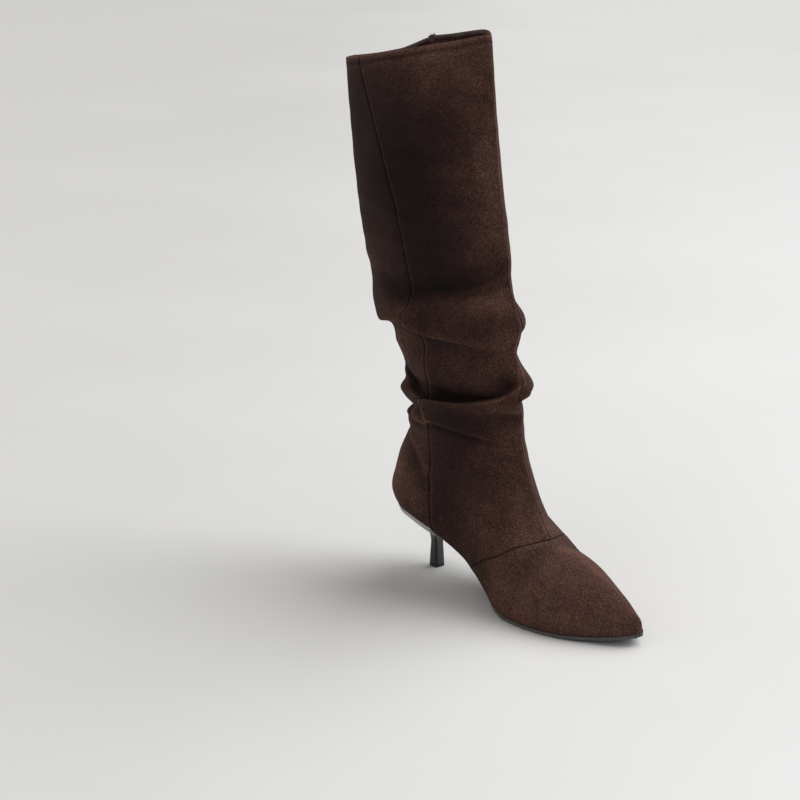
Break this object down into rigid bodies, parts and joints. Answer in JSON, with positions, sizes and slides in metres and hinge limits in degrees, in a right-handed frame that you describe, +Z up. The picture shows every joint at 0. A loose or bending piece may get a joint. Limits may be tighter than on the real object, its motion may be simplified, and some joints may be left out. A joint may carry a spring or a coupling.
{
  "type": "knee-high boot",
  "caption": "Left knee-high suede boot with a slouched shaft, pointed toe, thin outsole and slim kitten heel.",
  "frame": {"origin": "on the floor, under the middle of the box around the boot", "axes": "+X towards the toe, +Y towards the outer side of the foot, +Z up the shaft"},
  "size_m": [0.2978, 0.0808, 0.4003],
  "materials": {
    "suede": "brushed dark brown suede",
    "sole": "matt black",
    "insole": "plain",
    "heel": "gloss black",
    "tip": "matt black"
  },
  "bodies": {
    "root": {"upper": "suede", "outsole": "sole", "insole": "insole", "heel": "heel", "heel_tip": "tip"}
  },
  "joints": []
}
